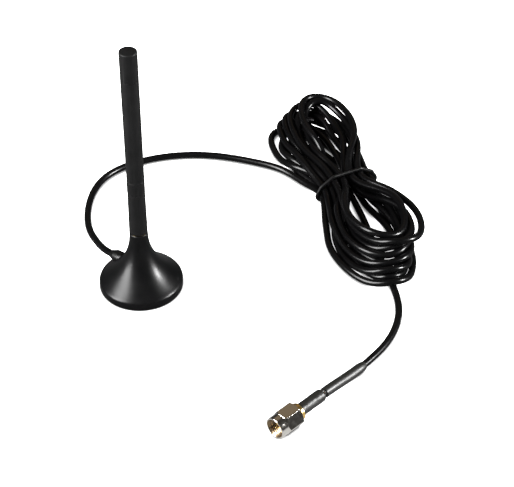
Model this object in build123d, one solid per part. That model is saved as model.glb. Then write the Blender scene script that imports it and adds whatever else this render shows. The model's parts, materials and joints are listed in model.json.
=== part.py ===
from build123d import *
import math
import os
import numpy as np

# Small magnetic-base whip antenna with a tied coax lead and an SMA plug.
# Millimetres, +Z up. The origin is the centre of the base's underside, on the surface it stands on.

# ---------------------------------------------------------------- base
BASE_R = 15.0
WALL_TOP_Z = 2.4
FLANK_R = 13.55
FLANK_Z = 4.05
NECK_R = 3.3
NECK_Z = 24.1
PAD_T = 0.5
PAD_R = 14.6
CUP_R = 12.0
CUP_WALL = 0.9
CUP_TOP_Z = 4.1
MAGNET_HOLE_R = 4.0
CUP_HOLE_R = 1.6
FIT_GAP = 0.02
CAVITY_R = 5.6
CAVITY_TOP_Z = 8.7
STUD_R = 2.0
STUD_HEAD_R = 3.0
STUD_HEAD_Z = 6.1
STUD_TOP_Z = 28.8
THREAD_GAP = 0.06
TAG_T = 0.3
TAG_TONGUE_W = 1.6
CABLE_GRIP = 0.05
NUB_AZIMUTH = 141.0
NUB_DROP = 6.0
NUB_R = 2.3
NUB_INNER = 8.2
NUB_OUTER = 13.4
NUB_MID = 12.0
NUB_MID_Z = 6.5

# ---------------------------------------------------------------- mast
WASHER_T = 0.5
WASHER_R = 2.95
MAST_FOOT_Z = NECK_Z + WASHER_T
MAST_FOOT_R = 3.28
MAST_R = 3.1
TUBE_BORE_R = 2.3
BAND_LOW_Z = 41.7
BAND_HIGH_Z = 47.2
CAP_Z = 88.5
MAST_TOP_Z = 99.5
INSERT_R = 2.7
INSERT_TOP_Z = 32.0
INSERT_BORE_Z = 30.0
SLEEVE_R = 2.28
ROD_R = 0.6
COIL_LOW_Z = 54.0
COIL_PITCH = 1.6
COIL_TURNS = 8
COIL_R = 1.55
COIL_WIRE_R = 0.3
FORMER_R = 1.2
FORMER_BORE_R = ROD_R + FIT_GAP
TIP_TOP_Z = 91.0
SPACER_LOW_Z = 76.0
SPACER_T = 2.0

# ---------------------------------------------------------------- coax cable
JACKET_R = 1.275
BRAID_R = 1.0
CORE_R = 0.76
WIRE_R = 0.24
LAYER_GAP = 0.005
JACKET_START = 6.1
BRAID_START = 5.0
CORE_START = 4.2
WIRE_START = 2.95

# ---------------------------------------------------------------- hank of cable
WAIST = (75.9, 52.3)
HANK_YAW = 22.0
WAIST_PITCH = 1.05 * 2 * JACKET_R
TIE_WIRE_R = 0.7
TIE_YAW = 27.0
TIE_GAP = 0.12
WAIST_Z = JACKET_R + 2 * TIE_WIRE_R + TIE_GAP + 0.02
# One row per turn, from the floor up: reach, sideways centre, half width, height of the end.
LOWER_ENDS = (
    (57.5, -6.5, 16.5, 0.0),
    (55.5, -6.0, 11.0, 1.2),
    (54.5, -5.5, 15.5, 2.6),
    (52.0, -4.5, 9.5, 3.0),
    (51.0, -4.0, 15.0, 5.2),
    (49.0, -3.0, 12.5, 6.0),
    (47.5, -2.5, 15.0, 8.0),
    (46.5, -0.5, 13.5, 8.8),
    (47.5, 2.0, 15.5, 11.6),
    (42.0, -1.0, 13.0, 12.0),
)
UPPER_ENDS = (
    (38.0, -4.0, 11.0, 0.3),
    (46.0, -9.0, 9.5, 1.5),
    (44.0, -2.0, 15.0, 2.6),
    (49.0, -4.0, 9.5, 3.4),
    (43.0, 2.0, 14.0, 5.0),
    (50.0, -1.0, 10.0, 5.6),
    (46.0, 4.0, 12.5, 7.4),
    (50.0, 1.5, 11.0, 8.4),
    (46.0, 6.0, 11.0, 10.2),
    (49.0, 6.5, 12.0, 12.2),
)
END_SQUARENESS = 2.4
PINCH = 0.40
PATH_STEP = 2.0
SETTLE_ROUNDS = 520
SETTLE_SPACING = 1.10
REST_Z = JACKET_R + 0.14
KNOT_TURN = 0.4
KNOT_STEPS = 5

# ---------------------------------------------------------------- plug
NUT_REAR = (54.19, -69.14, 4.03)
PLUG_HEADING = 224.5
PLUG_RISE = 0.0
NUT_FLATS = 8.0
NUT_HEX_LEN = 6.9
NUT_LEN = 9.7
COLLAR_R = 3.95
NUT_BORE_R = 2.85
NUT_NECK_R = 2.36
NUT_NECK_LEN = 1.2
NUT_RECESS_R = 3.0
NUT_RECESS_END = 3.0
BODY_R = 2.28
BODY_FRONT = 6.9
BODY_BORE_R = 2.05
FLANGE_R = 3.1
FLANGE_BACK = -1.6
FLANGE_FRONT = -0.1
RING_LOW = 1.4
RING_T = 0.6
RING_R = 2.62
RING_BORE_R = 2.0
GROOVE_R = 1.97
GROOVE_GAP = 0.05
SHOULDER_R = 1.6
SHOULDER_Z = 2.8
BODY_WEB_Z = -0.8
DIELECTRIC_FRONT = 6.7
PIN_R = 0.46
PIN_BACK_R = 0.635
PIN_TIP = 9.2
PIN_BACK = -0.7
PIN_NOSE = 0.7
POST_R = 1.1
POST_BORE_R = 0.79
POST_BACK = -5.8
JACKET_END = -6.0
CORE_END = -0.9
WIRE_END = 1.9
FERRULE_BORE_R = 1.30
FERRULE_R = 1.95
FERRULE_BACK = -9.4
FERRULE_FRONT = -1.75
CRIMP_FLATS = 3.5
CRIMP_BACK = -8.2
CRIMP_LEN = 5.2
SHRINK_R = 2.3
SHRINK_BACK = -12.3
STRAIGHT_END = -13.7
SLEEVE_OUTER_R = 1.85
SLEEVE_LEN = 21.0
SLEEVE_FRONT = -9.6


# ---------------------------------------------------------------- helpers
def turned(profile):
    """Solid of revolution about Z from (radius, height) corners."""
    face = make_face(Polyline(*[(r, 0, z) for r, z in profile], close=True))
    return revolve(face, Axis.Z)


def ring(inner_r, outer_r, low, high):
    return turned([(inner_r, low), (outer_r, low), (outer_r, high), (inner_r, high)])


def rod(radius, low, high):
    return turned([(0, low), (radius, low), (radius, high), (0, high)])


def unit(vector):
    return vector / np.linalg.norm(vector)


# ---------------------------------------------------------------- base pieces
def lead_in(distance):
    """Point on the straight run of cable through the base wall, at a distance from the stud axis."""
    turn = math.radians(NUB_AZIMUTH)
    drop = math.tan(math.radians(NUB_DROP))
    return np.array([
        distance * math.cos(turn),
        distance * math.sin(turn),
        NUB_MID_Z - (distance - NUB_MID) * drop,
    ])


def lead_in_rod(radius, start, end):
    """Cylinder along the straight run of cable through the base wall."""
    a = lead_in(start)
    b = lead_in(end)
    plane = Plane(origin=tuple(a), z_dir=tuple(b - a))
    return extrude(plane * Circle(radius), float(np.linalg.norm(b - a)))


def make_base_housing():
    flank = Bezier((NECK_R, 0, NECK_Z), (NECK_R, 0, 14.2), (7.7, 0, 8.9), (FLANK_R, 0, FLANK_Z))
    shoulder = Bezier(
        (FLANK_R, 0, FLANK_Z),
        (FLANK_R + 0.80, 0, FLANK_Z - 0.66),
        (BASE_R, 0, WALL_TOP_Z + 0.62),
        (BASE_R, 0, WALL_TOP_Z),
    )
    bore = STUD_R + FIT_GAP
    rest = Polyline(
        (BASE_R, 0, WALL_TOP_Z),
        (BASE_R, 0, 0),
        (PAD_R + FIT_GAP, 0, 0),
        (PAD_R + FIT_GAP, 0, PAD_T + FIT_GAP),
        (CUP_R + FIT_GAP, 0, PAD_T + FIT_GAP),
        (CUP_R + FIT_GAP, 0, CUP_TOP_Z + FIT_GAP),
        (CAVITY_R, 0, CUP_TOP_Z + FIT_GAP),
        (CAVITY_R, 0, CAVITY_TOP_Z),
        (bore, 0, CAVITY_TOP_Z),
        (bore, 0, NECK_Z),
        (NECK_R, 0, NECK_Z),
    )
    body = revolve(make_face([flank, shoulder, rest]), Axis.Z)
    body -= lead_in_rod(NUB_R + FIT_GAP, NUB_INNER, NUB_OUTER + 6)
    body -= lead_in_rod(JACKET_R + CABLE_GRIP, CAVITY_R - 1.5, NUB_INNER + 1)
    return body


def make_base_pad():
    return rod(PAD_R, 0, PAD_T)


def make_magnet_cup():
    inner = CUP_R - CUP_WALL
    return turned([
        (CUP_HOLE_R, CUP_TOP_Z - CUP_WALL),
        (inner, CUP_TOP_Z - CUP_WALL),
        (inner, PAD_T),
        (CUP_R, PAD_T),
        (CUP_R, CUP_TOP_Z),
        (CUP_HOLE_R, CUP_TOP_Z),
    ])


def make_base_magnet():
    outer = CUP_R - CUP_WALL - FIT_GAP
    return ring(MAGNET_HOLE_R, outer, PAD_T, CUP_TOP_Z - CUP_WALL)


def make_stud_insulator():
    pip_r = CUP_HOLE_R - FIT_GAP
    return turned([
        (0, CUP_TOP_Z - CUP_WALL),
        (pip_r, CUP_TOP_Z - CUP_WALL),
        (pip_r, CUP_TOP_Z),
        (STUD_HEAD_R, CUP_TOP_Z),
        (STUD_HEAD_R, STUD_HEAD_Z),
        (0, STUD_HEAD_Z),
    ])


def make_ground_tag():
    """Flat ring on the steel cup with a tongue that stands up to meet the braid."""
    washer = ring(STUD_HEAD_R + 0.2, CAVITY_R - 0.2, CUP_TOP_Z, CUP_TOP_Z + TAG_T)
    foot = lead_in(BRAID_START + 0.1)
    height = foot[2] - CORE_R - 0.1 - CUP_TOP_Z
    tongue = Box(TAG_T, TAG_TONGUE_W, height, align=(Align.CENTER, Align.CENTER, Align.MIN))
    tongue = Pos(foot[0], foot[1], CUP_TOP_Z) * Rot(0, 0, NUB_AZIMUTH) * tongue
    return washer + tongue


def make_base_stud():
    """Brass feed stud: round head in the base cavity, plain crest-diameter cylinder for its thread."""
    return turned([
        (0, STUD_HEAD_Z),
        (STUD_HEAD_R, STUD_HEAD_Z),
        (STUD_HEAD_R, CAVITY_TOP_Z),
        (STUD_R, CAVITY_TOP_Z),
        (STUD_R, STUD_TOP_Z - 0.4),
        (STUD_R - 0.4, STUD_TOP_Z),
        (0, STUD_TOP_Z),
    ])


def make_strain_relief():
    body = lead_in_rod(NUB_R, NUB_INNER + 0.05, NUB_OUTER)
    tip = body.edges().filter_by(GeomType.CIRCLE).sort_by(Axis((0, 0, 0), tuple(lead_in(10) - lead_in(5))))[-1]
    body = fillet(tip, 0.5)
    return body - lead_in_rod(JACKET_R + FIT_GAP, NUB_INNER - 1, NUB_OUTER + 1)


# ---------------------------------------------------------------- mast pieces
def make_mast_washer():
    return ring(STUD_R + THREAD_GAP, WASHER_R, NECK_Z, NECK_Z + WASHER_T)


def make_mast_lower_tube():
    return turned([
        (INSERT_R, MAST_FOOT_Z),
        (MAST_FOOT_R, MAST_FOOT_Z),
        (MAST_R, BAND_LOW_Z),
        (TUBE_BORE_R, BAND_LOW_Z),
        (TUBE_BORE_R, INSERT_TOP_Z),
        (INSERT_R, INSERT_TOP_Z),
    ])


def make_mast_band():
    """Short collar over the joint between the two tubes, with a fine line at each end."""
    line = 0.12
    return turned([
        (TUBE_BORE_R, BAND_LOW_Z),
        (MAST_R - line, BAND_LOW_Z),
        (MAST_R + 0.03, BAND_LOW_Z + line),
        (MAST_R + 0.03, BAND_HIGH_Z - line),
        (MAST_R - line, BAND_HIGH_Z),
        (TUBE_BORE_R, BAND_HIGH_Z),
    ])


def make_joint_sleeve():
    return ring(SLEEVE_R - 0.5, SLEEVE_R, BAND_LOW_Z - 4, BAND_HIGH_Z + 4)


def make_mast_upper_tube():
    return ring(TUBE_BORE_R, MAST_R, BAND_HIGH_Z, CAP_Z)


def make_mast_cap():
    edge = 0.55
    spigot = TUBE_BORE_R - FIT_GAP
    cap = turned([
        (0, CAP_Z - 3.0),
        (spigot, CAP_Z - 3.0),
        (spigot, CAP_Z),
        (MAST_R - 0.15, CAP_Z),
        (MAST_R, CAP_Z + 0.25),
        (MAST_R, MAST_TOP_Z),
        (0, MAST_TOP_Z),
    ])
    rim = cap.edges().filter_by(GeomType.CIRCLE).sort_by(Axis.Z)[-1]
    cap = fillet(rim, edge)
    return cap - rod(ROD_R + 0.1, CAP_Z - 4, TIP_TOP_Z + 0.2)


def make_mast_insert():
    bore = STUD_R + THREAD_GAP
    return turned([
        (bore, MAST_FOOT_Z),
        (INSERT_R, MAST_FOOT_Z),
        (INSERT_R, INSERT_TOP_Z - 0.01),
        (ROD_R + FIT_GAP, INSERT_TOP_Z - 0.01),
        (ROD_R + FIT_GAP, INSERT_BORE_Z),
        (bore, INSERT_BORE_Z),
    ])


def make_radiator_lower():
    return rod(ROD_R, INSERT_BORE_Z + 0.2, COIL_LOW_Z)


def make_radiator_upper():
    return rod(ROD_R, coil_top(), TIP_TOP_Z)


def coil_top():
    return COIL_LOW_Z + COIL_PITCH * COIL_TURNS


def make_coil_former():
    return ring(FORMER_BORE_R, FORMER_R, COIL_LOW_Z - 2, coil_top() + 2)


def make_loading_coil():
    """Copper wire coil; its feet run inward to the two rods through the former's ends."""
    helix = Helix(COIL_PITCH, COIL_PITCH * COIL_TURNS, COIL_R)
    start = helix @ 0
    direction = helix % 0
    wire = sweep(Plane(origin=start, z_dir=direction) * Circle(COIL_WIRE_R), path=helix)
    return Pos(0, 0, COIL_LOW_Z) * wire


def make_rod_spacer():
    """Plastic disc that keeps the upper rod central in the tube."""
    return ring(ROD_R + FIT_GAP, TUBE_BORE_R - FIT_GAP, SPACER_LOW_Z, SPACER_LOW_Z + SPACER_T)


# ---------------------------------------------------------------- cable path
def floor_direction(degrees):
    turn = math.radians(degrees)
    return np.array([math.cos(turn), math.sin(turn), 0.0])


HANK_SIDE = floor_direction(HANK_YAW)
HANK_LONG = floor_direction(HANK_YAW - 90)
HANK_CENTRE = np.array([WAIST[0], WAIST[1], 0.0])


def in_hank(along, side, height):
    return HANK_CENTRE + along * HANK_LONG + side * HANK_SIDE + np.array([0, 0, height])


def waist_slots():
    """Where each strand crosses the tied waist, as (side, height), for strands going and returning."""
    going = []
    returning = []
    low = WAIST_Z
    middle = WAIST_Z + 0.9 * WAIST_PITCH
    high = WAIST_Z + 1.8 * WAIST_PITCH
    for step in (4.0, 3.0, 2.0, 1.0):
        going.append((-step * WAIST_PITCH, low))
        returning.append((step * WAIST_PITCH, low))
    for step in (3.5, 2.5, 1.5, 0.5):
        going.append((-step * WAIST_PITCH, middle))
        returning.append((step * WAIST_PITCH, middle))
    for step in (2.0, 0.65):
        going.append((-step * WAIST_PITCH, high))
        returning.append((step * WAIST_PITCH, high))
    going.append((0.0, low))
    return going, returning


def hank_end(shape, start, finish, sign):
    """One looped end of the hank: a squarish arc that pinches in to its two waist slots."""
    reach, centre, half_width, height = shape
    swing = np.linspace(0, math.pi, 120)[:-1]
    power = 2 / END_SQUARENESS
    along = reach * np.abs(np.sin(swing)) ** power
    across = np.sign(np.cos(swing)) * np.abs(np.cos(swing)) ** power
    pinch = np.exp(-((along / (PINCH * reach)) ** 2))
    first_half = across > 0
    slot_side = np.where(first_half, start[0], finish[0])
    slot_height = np.where(first_half, start[1], finish[1])
    facing = 1 if start[0] > finish[0] else -1
    side = (1 - pinch) * (centre + facing * across * half_width) + pinch * slot_side
    rise = (1 - pinch) * (JACKET_R + height) + pinch * slot_height
    return np.array([in_hank(sign * a, b, z) for a, b, z in zip(along, side, rise)])


def wound_turns():
    going, returning = waist_slots()
    pieces = []
    for turn, (lower, upper) in enumerate(zip(LOWER_ENDS, UPPER_ENDS)):
        pieces.append(hank_end(lower, going[turn], returning[turn], 1))
        pieces.append(hank_end(upper, returning[turn], going[turn + 1], -1))
    return np.concatenate(pieces)


def smooth_curve(points):
    """Cubic curve through the points, sampled about every half millimetre."""
    curve = Spline(*[tuple(p) for p in points])
    count = int(curve.length / 0.5)
    return np.array([tuple(curve @ (i / count)) for i in range(count + 1)])


def even_steps(points, step):
    travelled = np.r_[0, np.cumsum(np.linalg.norm(np.diff(points, axis=0), axis=1))]
    stations = np.linspace(0, travelled[-1], int(round(travelled[-1] / step)) + 1)
    return np.stack([np.interp(stations, travelled, points[:, k]) for k in range(3)], axis=1)


def push_apart(points, first, second, spacing):
    """Moves strands that are closer than the spacing away from each other."""
    gap = points[second] - points[first]
    length = np.linalg.norm(gap, axis=1)
    close = length < spacing
    if not close.any():
        return
    shove = (spacing - length[close])[:, None] * 0.5 * gap[close] / length[close][:, None]
    total = np.zeros_like(points)
    count = np.zeros(len(points))
    for index, sign in ((first[close], -1), (second[close], 1)):
        np.add.at(total, index, sign * shove)
        np.add.at(count, index, 1)
    points += total / np.maximum(1, count * 0.45)[:, None]


def settle(points, held, pinned):
    """Lets the loosely wound cable settle until no two strands overlap."""
    target = points.copy()
    spacing = 2 * JACKET_R * SETTLE_SPACING
    skip = int(math.ceil(5 * JACKET_R / PATH_STEP))
    order = np.arange(len(points))
    for turn in range(SETTLE_ROUNDS):
        fade = 1 - turn / SETTLE_ROUNDS
        if turn % 5 == 0:
            square = (points**2).sum(axis=1)
            distance = square[:, None] + square[None, :] - 2 * points @ points.T
            near = (distance < (spacing + 1.2) ** 2) & (order[None, :] - order[:, None] > skip)
            first, second = np.nonzero(near)
        moved = points.copy()
        moved[:, 2] -= 0.01 * fade
        moved[:, :2] += 0.04 * fade * (target[:, :2] - points[:, :2])
        sag = np.zeros_like(moved)
        sag[1:-1] = (moved[:-2] + moved[2:]) / 2 - moved[1:-1]
        moved[2:-2] += 0.3 * (0.3 + 0.7 * fade) * (sag[2:-2] - (sag[1:-3] + sag[3:-1]) / 2)
        link = np.diff(moved, axis=0)
        stretch = link * (1 - PATH_STEP / np.linalg.norm(link, axis=1)[:, None]) * 0.25
        moved[:-1] += stretch
        moved[1:] -= stretch
        push_apart(moved, first, second, spacing)
        push_apart(moved, first, second, spacing)
        moved[:, 2] = np.maximum(moved[:, 2], REST_Z)
        moved[held] = target[held]
        moved[pinned] += 0.5 * (target[pinned] - moved[pinned])
        points = moved
    return points


def cable_points():
    """Centreline of the whole lead, from the base wall to the plug."""
    floor = REST_Z
    turns = wound_turns()
    wall = lead_in(NUB_OUTER + 0.4)
    from_base = smooth_curve([
        wall,
        wall + 1.5 * unit(lead_in(10) - lead_in(9)),
        (-15.6, 15.8, 4.0),
        (-18.4, 22.0, 2.3),
        (-20.9, 28.3, floor),
        (-22.3, 37.0, floor),
        (-21.5, 49.6, floor),
        (-17.6, 59.9, floor),
        (-10.0, 67.2, floor),
        (7.3, 73.9, floor),
        (23.4, 74.4, floor),
        (39.0, 70.6, floor),
        (50.4, 66.0, floor),
        (58.5, 60.0, floor + 0.4),
        turns[0],
    ])
    plug_end = plug_point(STRAIGHT_END)
    sleeve_rear = np.array([75.6, -47.0, floor + 0.65])
    sleeve_line = [sleeve_rear + part * (plug_end - sleeve_rear) for part in (0, 0.33, 0.67)]
    from_hank = smooth_curve([
        turns[-1],
        in_hank(16, -1, floor + 0.6),
        in_hank(40, -5, floor),
        in_hank(59.8, -7.9, floor),
        (91.7, -15.9, floor),
        (88.4, -28.8, floor),
        (85.6, -34.0, floor),
        (80.8, -40.5, floor + 0.25),
        *sleeve_line,
        plug_end - 1.5 * PLUG_AXIS,
        plug_end,
    ])
    loose = even_steps(np.concatenate([from_base[:-1], turns, from_hank[1:]]), PATH_STEP)
    loose[:, 2] = np.maximum(loose[:, 2], floor)
    count = len(loose)
    held = np.zeros(count, dtype=bool)
    held[: int(0.80 * len(even_steps(from_base, PATH_STEP)))] = True
    held[count - int(0.50 * len(even_steps(from_hank, PATH_STEP))) :] = True
    offset = loose - HANK_CENTRE
    pinned = (np.abs(offset @ HANK_LONG) < 2.5) & (np.abs(offset @ HANK_SIDE) < 14)
    return settle(loose, held, pinned)


def tangent_arcs(points, directions):
    """Chain of circular arcs through the points, two to a span, smooth at every joint."""
    edges = []
    for a, ta, b, tb in zip(points[:-1], directions[:-1], points[1:], directions[1:]):
        chord = b - a
        both = ta + tb
        bend = 2 * (1 - ta @ tb)
        if bend < 1e-9:
            reach = (chord @ chord) / (4 * (chord @ tb))
        else:
            lean = chord @ both
            reach = (math.sqrt(lean * lean + bend * (chord @ chord)) - lean) / bend
        joint = (a + b + reach * (ta - tb)) / 2
        through = unit((b - reach * tb) - (a + reach * ta))
        edges.append(arc_or_line(a, ta, joint))
        edges.append(arc_or_line(joint, through, b))
    return edges


def arc_or_line(start, direction, end):
    straight = unit(end - start)
    if np.linalg.norm(np.cross(direction, straight)) < 1e-5:
        return Edge.make_line(tuple(start), tuple(end))
    return Edge.make_tangent_arc(tuple(start), tuple(direction), tuple(end))


def arc_knots(path):
    """Where the arc chain touches the path: close together in tight bends, far apart elsewhere."""
    link = np.diff(path, axis=0)
    link /= np.linalg.norm(link, axis=1)[:, None]
    turning = np.arccos(np.clip((link[1:] * link[:-1]).sum(axis=1), -1, 1))
    chosen = [0]
    turned_by = 0.0
    for index in range(1, len(path) - 1):
        turned_by += turning[index - 1]
        if turned_by > KNOT_TURN or index - chosen[-1] >= KNOT_STEPS:
            chosen.append(index)
            turned_by = 0.0
    if len(path) - 1 - chosen[-1] < 2:
        chosen.pop()
    return [*chosen, len(path) - 1]


def cable_run():
    """Knots of the arc chain and the direction of the cable at each."""
    path = cable_points()
    path[1:-1] = (path[:-2] + 2 * path[1:-1] + path[2:]) / 4
    chosen = arc_knots(path)
    slopes = np.gradient(path, axis=0)[chosen]
    directions = slopes / np.linalg.norm(slopes, axis=1)[:, None]
    directions[0] = unit(lead_in(10) - lead_in(9))
    directions[-1] = PLUG_AXIS
    return path[chosen], directions


def plug_point(along):
    """Point on the plug's axis; zero is the nut's rear face and positive is towards the mouth."""
    return np.array(NUT_REAR) + along * PLUG_AXIS


def plug_axis():
    flat = floor_direction(PLUG_HEADING)
    rise = math.radians(PLUG_RISE)
    return flat * math.cos(rise) + np.array([0, 0, math.sin(rise)])


PLUG_AXIS = plug_axis()


def tube_along(edges, radius):
    wire = Wire(edges)
    start = edges[0]
    section = Plane(origin=start @ 0, z_dir=start % 0) * Circle(radius)
    return sweep(section, path=wire, transition=Transition.RIGHT)


def cable_edges(run, start_distance, end_along):
    """The full run with straight ends that reach into the base and into the plug."""
    arcs, first, last = run
    head = Edge.make_line(tuple(lead_in(start_distance)), tuple(first))
    tail = Edge.make_line(tuple(last), tuple(plug_point(end_along)))
    return [head, *arcs, tail]


def hollow_tube(edges, inner_r, outer_r):
    """Tube with a bore that follows the path, closed by a flat ring at each end."""
    outside = tube_along(edges, outer_r).faces().group_by(lambda face: face.geom_type == GeomType.PLANE)
    inside = tube_along(edges, inner_r).faces().group_by(lambda face: face.geom_type == GeomType.PLANE)
    ends = []
    for wide, narrow in zip(outside[1].sort_by(Axis.X), inside[1].sort_by(Axis.X)):
        ends.append(Face(wide.outer_wire(), [narrow.outer_wire()]))
    return Solid(Shell([*outside[0], *inside[0], *ends]))


def cable_layer(run, inner_r, outer_r, start_distance, end_along):
    edges = cable_edges(run, start_distance, end_along)
    if inner_r == 0:
        return tube_along(edges, outer_r)
    return hollow_tube(edges, inner_r, outer_r)


def make_cable_tie():
    """Round elastic band drawn tight around the waist of the hank."""
    going, returning = waist_slots()
    corners = [going[0], returning[0], returning[4], returning[8], going[8], going[4]]
    offset = JACKET_R + TIE_WIRE_R + TIE_GAP
    count = len(corners)
    normals = []
    for index in range(count):
        a = np.array(corners[index])
        b = np.array(corners[(index + 1) % count])
        along = unit(b - a)
        normals.append(np.array([along[1], -along[0]]))
    edges = []
    for index in range(count):
        a = np.array(corners[index])
        b = np.array(corners[(index + 1) % count])
        after = normals[index]
        before = normals[index - 1]
        middle = unit(before + after)
        edges.append(
            Edge.make_three_point_arc(
                tuple(a + offset * before), tuple(a + offset * middle), tuple(a + offset * after)
            )
        )
        edges.append(Edge.make_line(tuple(a + offset * after), tuple(b + offset * after)))
    plane = Plane(
        origin=tuple(HANK_CENTRE),
        x_dir=tuple(floor_direction(TIE_YAW)),
        z_dir=tuple(floor_direction(TIE_YAW - 90)),
    )
    loop = plane.location * Wire(edges)
    first = loop.edges()[0]
    return sweep(Plane(origin=first @ 0, z_dir=first % 0) * Circle(TIE_WIRE_R), path=loop)


# ---------------------------------------------------------------- plug pieces, built along +Z
def on_plug(shape):
    return Plane(origin=NUT_REAR, z_dir=tuple(PLUG_AXIS)).location * shape


def make_coupling_nut():
    """Hex nut with a round front collar; its thread is a plain bore at the crest diameter."""
    corner_r = NUT_FLATS / math.sqrt(3)
    hexagon = extrude(RegularPolygon(corner_r, 6), NUT_HEX_LEN)
    slope = 0.5
    trim = turned([
        (0, 0),
        (corner_r - slope, 0),
        (corner_r, slope),
        (corner_r, NUT_HEX_LEN - slope),
        (corner_r - slope, NUT_HEX_LEN),
        (0, NUT_HEX_LEN),
    ])
    collar = turned([
        (0, NUT_HEX_LEN - 1),
        (COLLAR_R, NUT_HEX_LEN - 1),
        (COLLAR_R, NUT_LEN - 0.3),
        (COLLAR_R - 0.3, NUT_LEN),
        (0, NUT_LEN),
    ])
    hollow = turned([
        (0, -1),
        (NUT_NECK_R, -1),
        (NUT_NECK_R, NUT_NECK_LEN),
        (NUT_RECESS_R, NUT_NECK_LEN),
        (NUT_RECESS_R, NUT_RECESS_END),
        (NUT_BORE_R, NUT_RECESS_END),
        (NUT_BORE_R, NUT_LEN - 0.35),
        (NUT_BORE_R + 0.35, NUT_LEN),
        (NUT_BORE_R + 0.35, NUT_LEN + 1),
        (0, NUT_LEN + 1),
    ])
    return on_plug((hexagon & trim) + collar - hollow)


def make_connector_body():
    return on_plug(turned([
        (POST_BORE_R, POST_BACK),
        (POST_R, POST_BACK),
        (POST_R, FLANGE_BACK),
        (FLANGE_R, FLANGE_BACK),
        (FLANGE_R, FLANGE_FRONT),
        (BODY_R, FLANGE_FRONT),
        (BODY_R, RING_LOW - GROOVE_GAP),
        (GROOVE_R, RING_LOW - GROOVE_GAP),
        (GROOVE_R, RING_LOW + RING_T + GROOVE_GAP),
        (BODY_R, RING_LOW + RING_T + GROOVE_GAP),
        (BODY_R, BODY_FRONT),
        (BODY_BORE_R, BODY_FRONT),
        (BODY_BORE_R, SHOULDER_Z),
        (SHOULDER_R, SHOULDER_Z),
        (SHOULDER_R, BODY_WEB_Z),
        (POST_BORE_R, BODY_WEB_Z),
    ]))


def make_retaining_ring():
    """Split spring ring that keeps the nut on the body."""
    band = ring(RING_BORE_R, RING_R, RING_LOW, RING_LOW + RING_T)
    slit = Pos(RING_R, 0, RING_LOW) * Box(2.5, 0.6, 4)
    return on_plug(band - slit)


def make_plug_insulator():
    front_r = BODY_BORE_R - FIT_GAP
    back_r = SHOULDER_R - FIT_GAP
    step = SHOULDER_Z + FIT_GAP
    bore = PIN_BACK_R + FIT_GAP
    return on_plug(turned([
        (bore, BODY_WEB_Z + FIT_GAP),
        (back_r, BODY_WEB_Z + FIT_GAP),
        (back_r, step),
        (front_r, step),
        (front_r, DIELECTRIC_FRONT),
        (bore, DIELECTRIC_FRONT),
    ]))


def make_centre_pin():
    """Contact pin with a pointed tip, a thicker rear and a solder cup for the cable's centre wire."""
    cup = WIRE_R + LAYER_GAP
    return on_plug(turned([
        (cup, PIN_BACK),
        (PIN_BACK_R, PIN_BACK),
        (PIN_BACK_R, DIELECTRIC_FRONT),
        (PIN_R, DIELECTRIC_FRONT),
        (PIN_R, PIN_TIP - PIN_NOSE),
        (0.15, PIN_TIP),
        (0, PIN_TIP),
        (0, WIRE_END + 0.1),
        (cup, WIRE_END + 0.1),
    ]))


def make_gasket():
    return on_plug(ring(BODY_R + FIT_GAP, NUT_BORE_R - 0.06, NUT_RECESS_END + 0.1, NUT_RECESS_END + 0.8))


def make_crimp_ferrule():
    """Thin metal tube crimped to six flats over the braid and the end of the jacket."""
    blank = ring(FERRULE_BORE_R, FERRULE_R, FERRULE_BACK, FERRULE_FRONT)
    corner_r = CRIMP_FLATS / math.sqrt(3)
    die = extrude(Pos(0, 0, CRIMP_BACK) * RegularPolygon(corner_r, 6), CRIMP_LEN)
    crimped = ring(FERRULE_BORE_R, FERRULE_R + 1, CRIMP_BACK, CRIMP_BACK + CRIMP_LEN) - die
    return on_plug(blank - crimped)


def make_ferrule_sleeve():
    """Heat-shrink tube over the ferrule, drawn in at its rear end."""
    inner = FERRULE_R + FIT_GAP
    tail = SLEEVE_OUTER_R + FIT_GAP
    return on_plug(turned([
        (tail, SHRINK_BACK),
        (SHRINK_R - 0.15, SHRINK_BACK),
        (SHRINK_R, SHRINK_BACK + 0.8),
        (SHRINK_R, FLANGE_BACK - 0.4),
        (SHRINK_R - 0.2, FLANGE_BACK - 0.02),
        (inner, FLANGE_BACK - 0.02),
        (inner, FERRULE_BACK),
        (tail, FERRULE_BACK - 0.2),
    ]))


def make_cable_sleeve(run):
    """Long thin heat-shrink tube that follows the cable behind the plug."""
    arcs, _, last = run
    chosen = [Edge.make_line(tuple(last), tuple(plug_point(SLEEVE_FRONT)))]
    length = chosen[0].length
    for edge in reversed(arcs):
        if length > SLEEVE_LEN:
            break
        chosen.insert(0, edge)
        length += edge.length
    return hollow_tube(chosen, JACKET_R + FIT_GAP, SLEEVE_OUTER_R)


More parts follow.
